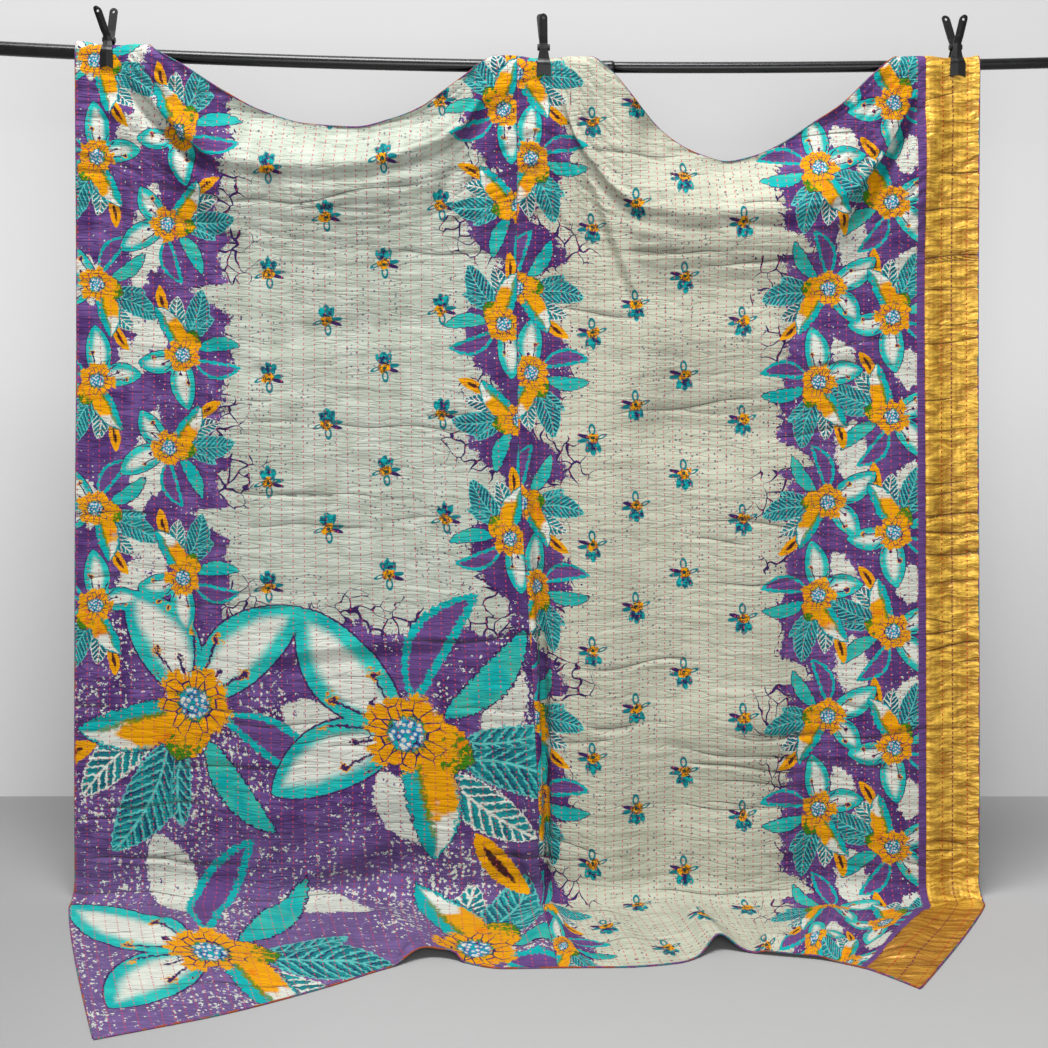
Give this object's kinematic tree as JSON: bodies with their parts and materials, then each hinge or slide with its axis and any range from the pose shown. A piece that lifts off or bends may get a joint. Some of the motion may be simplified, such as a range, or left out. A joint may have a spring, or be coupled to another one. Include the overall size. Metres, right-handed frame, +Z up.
{
  "type": "kantha quilt hanging from a rod with clips",
  "caption": "Stitched cotton quilt of two printed panels and a gold border, clipped over a thin telescopic rod, sagging in swags between the clips, its foot lying on the floor.",
  "frame": {"origin": "centre of the rod's flat left end face", "axes": "+X along the rod from its left end to its right, +Y away from the viewer, +Z up"},
  "size_m": [2.2, 0.6622, 1.7636],
  "materials": {
    "printed_cotton": "matte quilted cotton, printed",
    "gold_border": "woven metallic yarn, soft sheen",
    "backing_cotton": "matte quilted cotton, plain",
    "black_rod": "satin",
    "black_plastic": "matte"
  },
  "bodies": {
    "root": {"quilt_left_panel": "printed_cotton", "quilt_right_panel": "printed_cotton", "zari_border": "gold_border", "rod_left_section": "black_rod", "rod_middle_section": "black_rod", "rod_right_section": "black_rod", "clip_left_front_lever": "black_plastic", "clip_left_back_lever": "black_plastic", "clip_left_barrel": "black_plastic", "clip_centre_front_lever": "black_plastic", "clip_centre_back_lever": "black_plastic", "clip_centre_barrel": "black_plastic", "clip_right_front_lever": "black_plastic", "clip_right_back_lever": "black_plastic", "clip_right_barrel": "black_plastic"}
  },
  "joints": []
}
